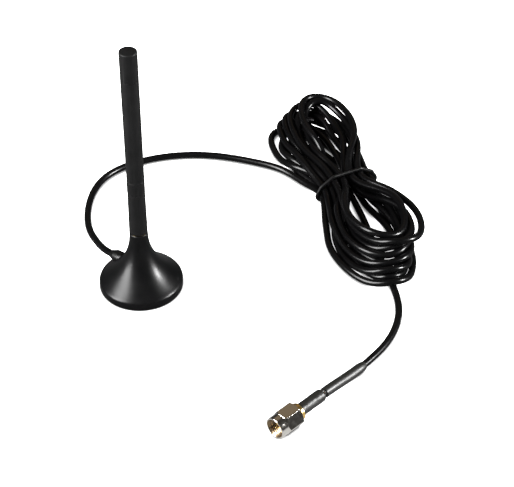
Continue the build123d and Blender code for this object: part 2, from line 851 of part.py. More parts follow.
# ---------------------------------------------------------------- everything
def build_parts():
    knots, directions = cable_run()
    run = (tangent_arcs(knots, directions), knots[0], knots[-1])
    gap = LAYER_GAP
    return {
        "base_housing": make_base_housing(),
        "base_pad": make_base_pad(),
        "magnet_cup": make_magnet_cup(),
        "base_magnet": make_base_magnet(),
        "stud_insulator": make_stud_insulator(),
        "ground_tag": make_ground_tag(),
        "base_stud": make_base_stud(),
        "strain_relief": make_strain_relief(),
        "mast_washer": make_mast_washer(),
        "mast_lower_tube": make_mast_lower_tube(),
        "mast_band": make_mast_band(),
        "joint_sleeve": make_joint_sleeve(),
        "mast_upper_tube": make_mast_upper_tube(),
        "mast_cap": make_mast_cap(),
        "mast_insert": make_mast_insert(),
        "radiator_lower": make_radiator_lower(),
        "radiator_upper": make_radiator_upper(),
        "coil_former": make_coil_former(),
        "loading_coil": make_loading_coil(),
        "rod_spacer": make_rod_spacer(),
        "cable_jacket": cable_layer(run, BRAID_R + gap, JACKET_R, JACKET_START, JACKET_END),
        "cable_braid": cable_layer(run, CORE_R + gap, BRAID_R, BRAID_START, JACKET_END),
        "cable_dielectric": cable_layer(run, WIRE_R + gap, CORE_R, CORE_START, CORE_END),
        "cable_centre_conductor": cable_layer(run, 0, WIRE_R, WIRE_START, WIRE_END),
        "cable_tie": make_cable_tie(),
        "coupling_nut": make_coupling_nut(),
        "connector_body": make_connector_body(),
        "retaining_ring": make_retaining_ring(),
        "plug_insulator": make_plug_insulator(),
        "centre_pin": make_centre_pin(),
        "gasket": make_gasket(),
        "crimp_ferrule": make_crimp_ferrule(),
        "ferrule_sleeve": make_ferrule_sleeve(),
        "cable_sleeve": make_cable_sleeve(run),
    }


os.makedirs("parts", exist_ok=True)
for name, shape in build_parts().items():
    export_step(shape, f"parts/{name}.step")
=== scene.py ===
import heapq
import json
import math

import bmesh
import bpy
import numpy as np
from mathutils import Matrix, Vector


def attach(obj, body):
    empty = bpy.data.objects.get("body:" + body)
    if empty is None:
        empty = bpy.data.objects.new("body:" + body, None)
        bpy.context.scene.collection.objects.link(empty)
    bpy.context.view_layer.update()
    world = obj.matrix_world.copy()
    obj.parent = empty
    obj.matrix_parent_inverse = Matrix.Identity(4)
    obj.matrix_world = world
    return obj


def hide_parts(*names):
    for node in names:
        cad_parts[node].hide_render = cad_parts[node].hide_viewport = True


# Looks for the magnetic-base whip antenna, in the CAD frame. Sizes are in millimetres, and MM turns
# them into metres. The camera, the floor and the lights are placed in metres.
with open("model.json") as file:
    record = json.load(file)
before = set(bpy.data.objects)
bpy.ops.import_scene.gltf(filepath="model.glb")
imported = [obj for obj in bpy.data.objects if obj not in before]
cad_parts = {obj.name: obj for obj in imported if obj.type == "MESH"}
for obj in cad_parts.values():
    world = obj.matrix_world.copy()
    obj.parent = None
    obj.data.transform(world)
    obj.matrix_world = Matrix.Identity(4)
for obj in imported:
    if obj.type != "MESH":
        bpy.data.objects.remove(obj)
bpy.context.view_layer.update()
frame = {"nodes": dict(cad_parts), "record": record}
nodes = frame["nodes"]
MM = 0.001
TAU = 2 * math.pi

# ---------------------------------------------------------------- driving sizes
BASE_R = 15.0            # flared base
PAD_POCKET_R = 14.62     # pocket for the pad in the base's underside
SEAM_LOW = 24.1          # seam between base and mast, filled by the washer
SEAM_TOP = 24.6
BAND_LOW = 41.7          # joint band between the mast's two tubes
BAND_TOP = 47.2
CAP_LOW = 88.5           # foot of the mast's cap
MAST_TOP = 99.5
MAST_R = 3.1
MAST_BORE_R = 2.3
CABLE_R = 1.27
WIRE_R = 0.24            # centre conductor of the cable
WIRE_START = 2.95        # its end inside the base, along the boot's line
CABLE_STEP = 0.8         # distance between rings of the cable's skin
JACKET_START = 6.1       # along the boot's line
JACKET_END = -6.0        # along the plug's axis
NUT_HEX_TOP = 6.9        # heights on the plug are along its axis, from the nut's rear face
NUT_LENGTH = 9.70
COLLAR_R = 3.94
NUT_BORE_R = 2.85
CONTACT_AT = 7.6         # middle of the centre contact, where its mount is
PIN_R = 0.46
SHRINK_REAR = -12.3      # heat-shrink on the ferrule
SHRINK_FRONT = -1.62

# ---------------------------------------------------------------- places
mounts = {m["name"]: m for m in frame["record"]["mounts"]}
contact = mounts["centre_contact"]
PLUG_AXIS = np.array(contact["axis"], float) / np.linalg.norm(contact["axis"])
NUT_REAR = np.array(contact["pos_m"], float) / MM - CONTACT_AT * PLUG_AXIS
# the cable's boot sticks out of the base along a line that drops away from the mast's axis
BOOT_AZIMUTH = math.radians(141.0)
BOOT_DROP = math.radians(6.0)
BOOT_REACH = 12.0
BOOT_HEIGHT = 6.5        # of the boot's line, at that reach
BOOT_DIR = np.array([
    math.cos(BOOT_AZIMUTH) * math.cos(BOOT_DROP),
    math.sin(BOOT_AZIMUTH) * math.cos(BOOT_DROP),
    -math.sin(BOOT_DROP),
])
BOOT_ROOT = np.array([
    BOOT_REACH * math.cos(BOOT_AZIMUTH), BOOT_REACH * math.sin(BOOT_AZIMUTH), BOOT_HEIGHT,
]) - BOOT_REACH / math.cos(BOOT_DROP) * BOOT_DIR


# ---------------------------------------------------------------- mesh helpers
def basis(origin, axis):
    """Matrix whose Z column is the axis, for shapes built along +Z in millimetres."""
    z = Vector(axis).normalized()
    x = Vector((0, 0, 1)).cross(z)
    x = Vector((1, 0, 0)) if x.length < 1e-6 else x.normalized()
    y = z.cross(x)
    turn = Matrix((x, y, z)).transposed().to_4x4()
    turn.translation = Vector(origin)
    return turn


UP = basis((0, 0, 0), (0, 0, 1))
ON_PLUG = basis(NUT_REAR, PLUG_AXIS)
ON_BOOT = basis(BOOT_ROOT, BOOT_DIR)


def grid_piece(name, rows, place=UP, close_rows=False, sharp=40):
    """Mesh from a grid of points (rows of rings, in mm). Rings wrap; rows wrap if close_rows."""
    rows = np.asarray(rows, float)
    count, around, _ = rows.shape
    flat = rows.reshape(-1, 3)
    matrix = np.array(place, float)
    flat = (flat @ matrix[:3, :3].T + matrix[:3, 3]) * MM
    a = np.arange(around)
    b = (a + 1) % around
    last = count if close_rows else count - 1
    faces = []
    for k in range(last):
        low = k * around
        high = ((k + 1) % count) * around
        faces.append(np.stack([low + a, low + b, high + b, high + a], axis=1))
    faces = np.concatenate(faces)
    mesh = bpy.data.meshes.new(name)
    mesh.from_pydata([tuple(p) for p in flat], [], [tuple(int(i) for i in f) for f in faces])
    work = bmesh.new()
    work.from_mesh(mesh)
    bmesh.ops.remove_doubles(work, verts=work.verts, dist=1e-8)
    bmesh.ops.recalc_face_normals(work, faces=work.faces)
    work.to_mesh(mesh)
    work.free()
    for polygon in mesh.polygons:
        polygon.use_smooth = True
    mesh.set_sharp_from_angle(angle=math.radians(sharp))
    piece = bpy.data.objects.new(name, mesh)
    bpy.context.scene.collection.objects.link(piece)
    return piece


def rounded(points, radius, steps=5, closed=False):
    """Corners of a profile eased by one radius, or by a list with a radius per corner."""
    points = [np.array(p, float) for p in points]
    radii = radius if isinstance(radius, list) else [radius] * len(points)
    out = []
    count = len(points)
    for i, here in enumerate(points):
        if not closed and i in (0, count - 1):
            out.append(here)
            continue
        before = points[i - 1] - here
        after = points[(i + 1) % count] - here
        room = min(np.linalg.norm(before), np.linalg.norm(after)) * 0.45
        cut = min(radii[i], room)
        if cut < 1e-4:
            out.append(here)
            continue
        start = here + before / np.linalg.norm(before) * cut
        end = here + after / np.linalg.norm(after) * cut
        for t in np.linspace(0, 1, steps):
            out.append((1 - t) ** 2 * start + 2 * t * (1 - t) * here + t * t * end)
    return np.array(out)


def bezier(a, b, c, d, steps):
    """Points of a cubic curve."""
    t = np.linspace(0, 1, steps)[:, None]
    a, b, c, d = (np.array(p, float) for p in (a, b, c, d))
    return (1 - t) ** 3 * a + 3 * t * (1 - t) ** 2 * b + 3 * t * t * (1 - t) * c + t**3 * d


def lathe(name, profile, place=UP, around=96, closed=False, sharp=40):
    """Surface of revolution of a (radius, height) profile; a radius may also be a list by angle."""
    turn = np.arange(around) * TAU / around
    rows = np.empty((len(profile), around, 3))
    for k, (radius, height) in enumerate(profile):
        rows[k, :, 0] = radius * np.cos(turn)
        rows[k, :, 1] = radius * np.sin(turn)
        rows[k, :, 2] = height
    return grid_piece(name, rows, place, closed, sharp)


def swept(name, path, radii, around=20, closed=False, wobble=None, bore=None):
    """Tube along a path of points with one radius per point, closed at its ends; hollow with a bore."""
    path = np.asarray(path, float)
    count = len(path)
    if closed:
        tangents = np.roll(path, -1, axis=0) - np.roll(path, 1, axis=0)
    else:
        tangents = np.gradient(path, axis=0)
    tangents /= np.linalg.norm(tangents, axis=1)[:, None]
    side = np.cross(tangents[0], (0, 0, 1.0))
    side /= np.linalg.norm(side)
    sides = np.empty_like(path)
    for i in range(count):
        side = side - (side @ tangents[i]) * tangents[i]
        side /= np.linalg.norm(side)
        sides[i] = side
    if closed:
        gap = math.atan2(np.cross(sides[-1], sides[0]) @ tangents[0], sides[-1] @ sides[0])
        ups = np.cross(tangents, sides)
        part = np.arange(count)[:, None] / count * gap
        sides = sides * np.cos(part) + ups * np.sin(part)
    ups = np.cross(tangents, sides)
    turn = np.arange(around) * TAU / around
    radii = np.broadcast_to(np.asarray(radii, float).reshape(-1, 1), (count, around)).copy()
    if wobble is not None:
        radii += wobble(np.arange(count)[:, None], turn[None, :])
    rows = (
        path[:, None, :]
        + (radii * np.cos(turn))[:, :, None] * sides[:, None, :]
        + (radii * np.sin(turn))[:, :, None] * ups[:, None, :]
    )
    if bore is not None:
        inner = (
            path[:, None, :]
            + (bore * np.cos(turn))[None, :, None] * sides[:, None, :]
            + (bore * np.sin(turn))[None, :, None] * ups[:, None, :]
        )
        return grid_piece(name, np.concatenate([rows, inner[::-1]]), close_rows=True)
    if not closed:
        first = np.repeat(path[:1, None, :], around, axis=1)
        final = np.repeat(path[-1:, None, :], around, axis=1)
        rows = np.concatenate([first, rows, final])
    return grid_piece(name, rows, close_rows=closed)


def dress(piece, body, material, stands_for):
    """Give a piece its material, put it on its body, and hide the CAD node it stands for."""
    piece.data.materials.clear()
    piece.data.materials.append(material)
    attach(piece, body)
    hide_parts(stands_for)


# ---------------------------------------------------------------- materials
def node_tree(owner):
    """Emptied node tree of a material or world, with short ways to add a node and to set its inputs."""
    owner.use_nodes = True
    tree = owner.node_tree
    tree.nodes.clear()

    def add(kind, settings=(), **inputs):
        made = tree.nodes.new("ShaderNode" + kind)
        for key, value in dict(settings).items():
            setattr(made, key, value)
        for key, value in inputs.items():
            made.inputs[key.replace("_", " ")].default_value = value
        return made

    return add, tree.links.new


def finish(name, colour, second, metal=0.0, rough=0.4, rough_spread=0.08, patch=220.0, grain=2600.0,
           grain_height=0.02, wear=None, wear_amount=0.0, specular=0.5, streak=None):
    """Procedural material: patchy colour and roughness, fine grain bump and worn edges."""
    material = bpy.data.materials.new(name)
    add, link = node_tree(material)
    shader = add("BsdfPrincipled", Metallic=metal, Specular_IOR_Level=specular)
    link(shader.outputs["BSDF"], add("OutputMaterial").inputs["Surface"])
    where = add("TexCoord")
    large = add("TexNoise", Scale=patch, Detail=4.0)
    link(where.outputs["Object"], large.inputs["Vector"])
    fine = add("TexNoise", Scale=grain, Detail=3.0)
    link(where.outputs["Object"], fine.inputs["Vector"])
    blend = add("Mix", {"data_type": "RGBA"})
    blend.inputs[6].default_value = (*colour, 1)
    blend.inputs[7].default_value = (*second, 1)
    link(large.outputs["Fac"], blend.inputs[0])
    shown = blend.outputs[2]
    if wear is not None:
        edge = add("MapRange", From_Min=0.52, From_Max=0.62, To_Max=wear_amount)
        link(add("NewGeometry").outputs["Pointiness"], edge.inputs["Value"])
        broken = add("Math", {"operation": "MULTIPLY"})
        link(edge.outputs["Result"], broken.inputs[0])
        link(fine.outputs["Fac"], broken.inputs[1])
        worn = add("Mix", {"data_type": "RGBA"})
        worn.inputs[7].default_value = (*wear, 1)
        link(broken.outputs["Value"], worn.inputs[0])
        link(shown, worn.inputs[6])
        shown = worn.outputs[2]
    link(shown, shader.inputs["Base Color"])
    spread = add("MapRange", From_Min=0.3, From_Max=0.7, To_Min=max(0.02, rough - rough_spread),
                 To_Max=min(1.0, rough + rough_spread))
    link(large.outputs["Fac"], spread.inputs["Value"])
    link(spread.outputs["Result"], shader.inputs["Roughness"])
    bump = add("Bump", Strength=0.6, Distance=grain_height * MM)
    height = fine.outputs["Fac"]
    if streak is not None:
        lines = add("TexWave", {"wave_type": "BANDS", "bands_direction": "DIAGONAL"}, Scale=streak,
                    Distortion=1.5)
        link(where.outputs["Object"], lines.inputs["Vector"])
        both = add("Math", {"operation": "ADD"})
        link(lines.outputs["Fac"], both.inputs[0])
        link(height, both.inputs[1])
        height = both.outputs["Value"]
    link(height, bump.inputs["Height"])
    link(bump.outputs["Normal"], shader.inputs["Normal"])
    return material


BASE_BLACK = finish("base_satin_black", (0.0009, 0.0009, 0.0010), (0.0018, 0.0018, 0.0019), rough=0.31,
                    rough_spread=0.03, grain=3200, grain_height=0.004, wear=(0.03, 0.03, 0.03),
                    wear_amount=0.2, specular=0.15)
MAST_BLACK = finish("mast_matt_black", (0.0018, 0.0018, 0.0019), (0.0032, 0.0032, 0.0033), rough=0.52,
                    rough_spread=0.07, grain=4200, grain_height=0.02, wear=(0.05, 0.05, 0.05),
                    wear_amount=0.4, specular=0.14)
CABLE_BLACK = finish("cable_gloss_pvc", (0.0007, 0.0007, 0.0008), (0.0016, 0.0016, 0.0017), rough=0.24,
                     rough_spread=0.03, patch=160, grain=1500, grain_height=0.004, specular=0.18)
BOOT_BLACK = finish("boot_soft_black", (0.0015, 0.0015, 0.0015), (0.003, 0.003, 0.003), rough=0.32,
                    grain=2500, grain_height=0.008, specular=0.20)
TIE_BLACK = finish("tie_band_black", (0.0010, 0.0010, 0.0010), (0.0024, 0.0024, 0.0024), rough=0.36,
                   grain=2200, grain_height=0.006, specular=0.15)
SHRINK_BLACK = finish("shrink_tube_black", (0.0022, 0.0024, 0.0020), (0.0046, 0.0048, 0.0038), rough=0.45,
                      rough_spread=0.03, patch=500, grain=900, grain_height=0.002, specular=0.44)
PAD_RUBBER = finish("pad_rubber", (0.020, 0.020, 0.020), (0.032, 0.031, 0.030), rough=0.78,
                    grain=3000, grain_height=0.04)
NICKEL = finish("nickel_plate", (0.66, 0.64, 0.60), (0.74, 0.72, 0.68), metal=1.0, rough=0.10,
                rough_spread=0.03, patch=700, grain=2800, grain_height=0.0015,
                wear=(0.55, 0.45, 0.28), wear_amount=0.25)
# nut bore: rougher than the outside, and its dark tan colour is painted shade in the hollow
NUT_BORE = finish("nut_bore_thread_painted_shade", (0.17, 0.12, 0.07), (0.24, 0.18, 0.11), metal=1.0, rough=0.30,
                  patch=900, grain=2800, grain_height=0.003)
GOLD = finish("gold_plate", (0.86, 0.60, 0.22), (0.78, 0.52, 0.18), metal=1.0, rough=0.22,
              patch=800, grain=2500, grain_height=0.002)
BRASS = finish("machined_brass", (0.50, 0.36, 0.13), (0.34, 0.24, 0.09), metal=1.0, rough=0.20,
               patch=600, grain=2200, grain_height=0.010, streak=1200)
COPPER = finish("bare_copper", (0.72, 0.36, 0.20), (0.62, 0.29, 0.16), metal=1.0, rough=0.28,
                patch=500, grain=1800, grain_height=0.008)
ZINC = finish("zinc_plated_steel", (0.52, 0.54, 0.53), (0.62, 0.62, 0.56), metal=1.0, rough=0.34,
              patch=260, grain=1600, grain_height=0.012)
MAGNET = finish("magnet_nickel", (0.44, 0.44, 0.44), (0.54, 0.53, 0.51), metal=1.0, rough=0.24,
                patch=200, grain=1400, grain_height=0.010)
NYLON = finish("natural_nylon", (0.74, 0.72, 0.64), (0.82, 0.80, 0.72), rough=0.46, patch=300,
               grain=1500, grain_height=0.02)
PTFE = finish("white_ptfe", (0.80, 0.77, 0.69), (0.86, 0.84, 0.77), rough=0.42, patch=500,
              grain=1500, grain_height=0.01)
SILICONE = finish("red_silicone", (0.40, 0.05, 0.03), (0.50, 0.08, 0.05), rough=0.45, patch=500,
                  grain=2000, grain_height=0.02)
BRAID = finish("tinned_braid", (0.52, 0.52, 0.50), (0.66, 0.64, 0.60), metal=1.0, rough=0.36,
               patch=900, grain=2400, grain_height=0.05, streak=2600)
DIELECTRIC = finish("milky_dielectric", (0.80, 0.80, 0.76), (0.86, 0.86, 0.82), rough=0.40,
                    patch=400, grain=1500, grain_height=0.01)

# CAD nodes shown as they are; each other node has a piece of its own below
CAD_FINISH = {
    "magnet_cup": ZINC, "base_magnet": MAGNET, "stud_insulator": NYLON, "ground_tag": ZINC,
    "base_stud": BRASS, "mast_insert": BRASS, "radiator_lower": BRASS, "radiator_upper": BRASS,
    "coil_former": NYLON, "loading_coil": COPPER, "rod_spacer": NYLON, "joint_sleeve": NYLON,
    "cable_centre_conductor": COPPER, "retaining_ring": GOLD, "crimp_ferrule": NICKEL,
}
for node, material in CAD_FINISH.items():
    mesh = nodes[node].data
    mesh.materials.clear()
    mesh.materials.append(material)

# ---------------------------------------------------------------- base
shell_out = np.concatenate([
    bezier((3.3, 23.95), (3.3, 14.2), (7.7, 8.9), (13.55, 4.05), 60),
    bezier((13.55, 4.05), (14.35, 3.39), (BASE_R, 3.02), (BASE_R, 2.4), 14)[1:],
    rounded([(BASE_R, 2.4), (BASE_R, 0.0), (PAD_POCKET_R, 0.0), (PAD_POCKET_R, 0.52)], 0.22)[1:],
])
shell_in = rounded([
    (PAD_POCKET_R, 0.52), (12.02, 0.52), (12.02, 4.12), (5.6, 4.12), (5.6, 8.7), (2.02, 8.7),
    (2.02, SEAM_LOW), (3.15, SEAM_LOW),
], 0.12)
dress(lathe("base_shell", np.concatenate([shell_out, shell_in[1:]]), around=144, closed=True),
      "antenna_base", BASE_BLACK, "base_housing")

boot = rounded([
    (1.32, 8.4), (2.28, 8.4), (2.28, 12.05), (2.02, 12.2), (2.02, 12.4), (1.42, 14.3), (1.30, 14.3),
], [0.1, 0.1, 0.16, 0.06, 0.3, 0.05, 0.05], closed=True)
dress(lathe("cable_boot", boot, ON_BOOT, 56, closed=True), "antenna_base", BOOT_BLACK,
      "strain_relief")

pad = rounded([(0.0, 0.02), (14.3, 0.0), (14.56, 0.0), (14.58, 0.5), (0.0, 0.5)],
              [0, 0.1, 0.18, 0.06, 0])
dress(lathe("base_foot_pad", pad, around=120), "antenna_base", PAD_RUBBER, "base_pad")

# ---------------------------------------------------------------- mast
washer = rounded([(2.08, SEAM_LOW), (2.80, SEAM_LOW), (2.80, SEAM_TOP), (2.08, SEAM_TOP)], 0.1,
                 closed=True)
dress(lathe("seam_washer", washer, closed=True), "mast_washer_body", BRASS,
      "mast_washer")

foot_tube = rounded([
    (2.7, SEAM_TOP), (3.28, SEAM_TOP), (MAST_R, BAND_LOW), (MAST_BORE_R, BAND_LOW),
    (MAST_BORE_R, 32.0), (2.7, 32.0),
], [0.1, 0.2, 0.06, 0.1, 0.1, 0.1], closed=True)
band = rounded([
    (MAST_BORE_R, BAND_LOW), (2.94, BAND_LOW), (3.13, BAND_LOW + 0.12), (3.13, BAND_TOP - 0.12),
    (2.94, BAND_TOP), (MAST_BORE_R, BAND_TOP),
], [0.1, 0.05, 0.06, 0.06, 0.05, 0.1], closed=True)
long_tube = rounded([
    (MAST_BORE_R, BAND_TOP), (MAST_R, BAND_TOP), (MAST_R, CAP_LOW), (MAST_BORE_R, CAP_LOW),
], [0.1, 0.07, 0.07, 0.1], closed=True)
cap = np.concatenate([
    rounded([
        (0.0, 91.3), (0.7, 91.3), (0.7, 85.5), (2.28, 85.5), (2.28, CAP_LOW), (2.92, CAP_LOW),
        (MAST_R, 88.75),
    ], 0.06),
    rounded([(MAST_R, 88.8), (MAST_R, MAST_TOP), (0.0, MAST_TOP)], 0.55, steps=9),
])
for piece_name, profile, closed, node in (
    ("mast_foot_tube", foot_tube, True, "mast_lower_tube"),
    ("mast_joint_band", band, True, "mast_band"),
    ("mast_long_tube", long_tube, True, "mast_upper_tube"),
    ("mast_top_cap", cap, False, "mast_cap"),
):
    dress(lathe(piece_name, profile, closed=closed), "mast", MAST_BLACK, node)


# ---------------------------------------------------------------- cable
def cable_centreline():
    """Centreline of the lead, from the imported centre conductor.

    Its vertices are put in order by their distance along the mesh's edges from the end inside the
    base, each one is moved in to the axis, and every millimetre of length gives one averaged point.
    """
    mesh = nodes["cable_centre_conductor"].data
    points = np.array([v.co for v in mesh.vertices], float) / MM
    _, first, merged = np.unique(np.round(points, 3), axis=0, return_index=True, return_inverse=True)
    merged = merged.reshape(-1)
    places = points[first]
    normals = np.zeros_like(places)
    near = [set() for _ in places]
    for polygon in mesh.polygons:
        corners = [int(merged[i]) for i in polygon.vertices]
        a, b, c = places[corners[0]], places[corners[1]], places[corners[2]]
        face = np.cross(b - a, c - a)
        for i, here in enumerate(corners):
            normals[here] += face
            near[here].add(corners[i - 1])
            near[corners[i - 1]].add(here)
    length = np.linalg.norm(normals, axis=1)[:, None]
    normals /= np.maximum(length, 1e-12)
    start_point = BOOT_ROOT + WIRE_START * BOOT_DIR
    start = int(np.argmin(np.linalg.norm(places - start_point, axis=1)))
    travelled = np.full(len(places), np.inf)
    travelled[start] = 0.0
    queue = [(0.0, start)]
    while queue:
        distance, here = heapq.heappop(queue)
        if distance > travelled[here]:
            continue
        for other in near[here]:
            reach = distance + float(np.linalg.norm(places[here] - places[other]))
            if reach < travelled[other]:
                travelled[other] = reach
                heapq.heappush(queue, (reach, other))
    centres = places - WIRE_R * normals
    order = np.argsort(travelled)
    order = order[np.isfinite(travelled[order])]
    stations = travelled[order]
    centres = centres[order]
    keep = (stations > 1.0) & (stations < stations[-1] - 1.0)
    centres = centres[keep]
    bins = np.round(stations[keep]).astype(int)
    return np.array([centres[bins == b].mean(axis=0) for b in np.unique(bins)])


def resample(path, step):
    """The path with points at even distances."""
    travelled = np.r_[0, np.cumsum(np.linalg.norm(np.diff(path, axis=0), axis=1))]
    count = int(round(travelled[-1] / step)) + 1
    at = np.linspace(0, travelled[-1], count)
    return np.stack([np.interp(at, travelled, path[:, k]) for k in range(3)], axis=1)


def ease(path, rounds):
    """The path with its small kinks smoothed out and its ends kept."""
    path = path.copy()
    for _ in range(rounds):
        path[1:-1] = (path[:-2] + 2 * path[1:-1] + path[2:]) / 4
    return path


centreline = ease(resample(ease(cable_centreline(), 2), CABLE_STEP), 3)
along_boot = (centreline - BOOT_ROOT) @ BOOT_DIR
along_plug = (centreline - NUT_REAR) @ PLUG_AXIS


def first_past(distance):
    """Index of the first point that is further out along the boot's line than the distance."""
    return int(np.argmax(along_boot > distance))


def last_before(distance):
    """Index of the last point that is further back than the distance along the plug's axis."""
    return len(centreline) - 1 - int(np.argmax(along_plug[::-1] < distance))


# jacket, and the braid and core inside it
jacket_path = centreline[first_past(JACKET_START):last_before(JACKET_END) + 1]
jacket = swept("cable_outer_jacket", jacket_path, np.full(len(jacket_path), CABLE_R))
dress(jacket, "antenna_base", CABLE_BLACK, "cable_jacket")

for piece_name, outer, inner, start, stop, slot_name, material, node in (
    ("cable_braid_tube", 1.0, 0.77, 5.0, JACKET_END, "tinned_metal", BRAID, "cable_braid"),
    ("cable_core_tube", 0.755, 0.25, 4.2, -0.9, "clear_dielectric", DIELECTRIC, "cable_dielectric"),
):
    path = centreline[first_past(start):last_before(stop) + 1]
    layer = swept(piece_name, path, np.full(len(path), outer), around=14, bore=inner)
    dress(layer, "antenna_base", material, node)

# heat-shrink on the cable, drawn in at its rear end
SLEEVE_LENGTH = 21.4
SLEEVE_FRONT = -9.6
SLEEVE_BORE_R = 1.29
SLEEVE_REAR_R = 1.40
SLEEVE_GROWS = 0.45      # radius gained over the drawn-in part
SLEEVE_DRAWN = 2.2
sleeve_stop = last_before(SLEEVE_FRONT)
sleeve_path = ease(centreline[sleeve_stop - int(SLEEVE_LENGTH / CABLE_STEP):sleeve_stop + 1], 12)
from_rear = np.linspace(0, SLEEVE_LENGTH, len(sleeve_path))
sleeve_r = SLEEVE_REAR_R + SLEEVE_GROWS * np.clip(from_rear / SLEEVE_DRAWN, 0, 1) ** 0.7


def sleeve_wobble(row, turn):
    """Slight unevenness of shrunk tube."""
    return 0.012 * np.sin(2 * turn + row * 0.21) + 0.004 * np.sin(5 * turn - row * 0.3)


sleeve = swept("cable_heat_shrink", sleeve_path, sleeve_r, 40, wobble=sleeve_wobble, bore=SLEEVE_BORE_R)
dress(sleeve, "antenna_base", SHRINK_BLACK, "cable_sleeve")

# ---------------------------------------------------------------- tie
WAIST = np.array([75.9, 52.3, 0.0])
TIE_YAW = math.radians(27.0)
TIE_SIDE = np.array([math.cos(TIE_YAW), math.sin(TIE_YAW), 0.0])
# centres of the strands at the corners of the bundle, across it and up
TIE_CORNERS = (
    (-10.71, 2.815), (10.71, 2.815), (9.37, 5.225), (5.355, 7.634), (-5.355, 7.634), (-9.37, 5.225),
)
TIE_OFFSET = 2.095       # from a corner strand's centre to the band's
TIE_R = 0.68


def tie_loop():
    """Band drawn tight round the strands: arcs at the corner strands, straight between them."""
    corners = [np.array(c) for c in TIE_CORNERS]
    total = len(corners)
    outward = []
    for i, here in enumerate(corners):
        along = corners[(i + 1) % total] - here
        along /= np.linalg.norm(along)
        outward.append(np.array([along[1], -along[0]]))
    flat = []
    for i, here in enumerate(corners):
        before = math.atan2(*outward[i - 1][::-1])
        after = math.atan2(*outward[i][::-1])
        bend = (after - before) % TAU
        for t in np.linspace(0, 1, 9):
            angle = before + t * bend
            flat.append(here + TIE_OFFSET * np.array([math.cos(angle), math.sin(angle)]))
        ahead = corners[(i + 1) % total] + TIE_OFFSET * outward[i]
        here_edge = here + TIE_OFFSET * outward[i]
        steps = max(2, int(np.linalg.norm(ahead - here_edge) / 0.6))
        for t in np.linspace(0, 1, steps, endpoint=False)[1:]:
            flat.append((1 - t) * here_edge + t * ahead)
    flat = np.array(flat)
    return WAIST + flat[:, :1] * TIE_SIDE + flat[:, 1:] * np.array([0, 0, 1.0])


def tie_wobble(row, turn):
    """Slight unevenness of the band, with its section a little flat."""
    return 0.02 * np.sin(row * 0.23 + turn) - 0.03 * np.cos(2 * turn)


tie_path = tie_loop()
tie = swept("hank_tie_band", tie_path, np.full(len(tie_path), TIE_R), 24, True, tie_wobble)
dress(tie, "antenna_base", TIE_BLACK, "cable_tie")


# ---------------------------------------------------------------- plug
NUT_AROUND = 144
NUT_FLATS = 8.0
nut_turn = np.arange(NUT_AROUND) * TAU / NUT_AROUND
nut_local = np.array([v.co for v in nodes["coupling_nut"].data.vertices], float) / MM
nut_local = (nut_local - NUT_REAR) @ np.array(ON_PLUG, float)[:3, :3]
nut_far = np.hypot(nut_local[:, 0], nut_local[:, 1])
hex_points = nut_local[nut_far > nut_far.max() - 0.02]
hex_angles = np.arctan2(hex_points[:, 1], hex_points[:, 0])
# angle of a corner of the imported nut's hexagon
hex_turn = math.atan2(np.sin(6 * hex_angles).mean(), np.cos(6 * hex_angles).mean()) / 6


def hexagon(turn, ease_by=0.10):
    """Radius of the nut's hexagon by angle, with slightly rounded corners."""
    within = (turn - hex_turn) % (math.pi / 3) - math.pi / 6
    radius = NUT_FLATS / 2 / np.cos(within)
    return np.minimum(radius, NUT_FLATS / math.sqrt(3) - ease_by + 0.05 * np.cos(within))


THREAD_PITCH = 0.7056
THREAD_DEPTH = 0.33
THREAD_END = 3.05        # behind this the bore is plain
LEAD_START = 9.0         # lead-in cone at the mouth
nut_hex = hexagon(nut_turn)
# rows from the rear face round the outside to the mouth, then back down the threaded bore
nut_rows = [(2.36, 0.1), (2.44, 0.0), (3.55, 0.0), (3.72, 0.02)]
for height in np.linspace(0.03, 0.56, 8):
    nut_rows.append((np.minimum(nut_hex, 3.80 + height * 1.55), height))
nut_rows += [(nut_hex, 0.8), (nut_hex, 3.5), (nut_hex, 6.1)]
for height in np.linspace(6.36, 6.87, 8):
    nut_rows.append((np.minimum(nut_hex, 3.98 + (NUT_HEX_TOP - height) * 1.30), height))
nut_rows += [(3.97, 6.89), (3.95, 6.92), (COLLAR_R, 7.0), (COLLAR_R, 8.2), (COLLAR_R, 9.40)]
nut_rows += [(3.92, 9.52), (3.84, 9.62), (3.74, 9.68), (3.62, NUT_LENGTH), (3.50, NUT_LENGTH),
             (3.42, 9.66)]
for height in np.arange(9.6, THREAD_END, -THREAD_PITCH / 12):
    phase = (height / THREAD_PITCH - nut_turn / TAU) % 1.0
    groove = np.clip(1.12 - 2.3 * np.abs(phase - 0.5), 0.0, 1.0)
    lead = max(0.0, (height - LEAD_START) / 0.6) * 0.52
    fade = min(1.0, (height - THREAD_END) / 0.5)
    nut_rows.append((NUT_BORE_R + np.maximum(THREAD_DEPTH * groove * fade, lead), height))
nut_rows += [(2.86, 3.02), (3.0, 3.0), (3.0, 1.25), (2.95, 1.2), (2.42, 1.2), (2.36, 1.14)]
nut = lathe("sma_coupling_nut", nut_rows, ON_PLUG, NUT_AROUND, closed=True, sharp=32)
dress(nut, "nut", NICKEL, "coupling_nut")
# the bore has its own, less polished finish, and its dark tan colour is painted shade inside the bore
nut.data.materials.append(NUT_BORE)
from_plug = ON_PLUG.inverted()
for polygon in nut.data.polygons:
    spot = from_plug @ (polygon.center / MM)
    if math.hypot(spot.x, spot.y) < 3.42 and spot.z > 1.3:
        polygon.material_index = 1

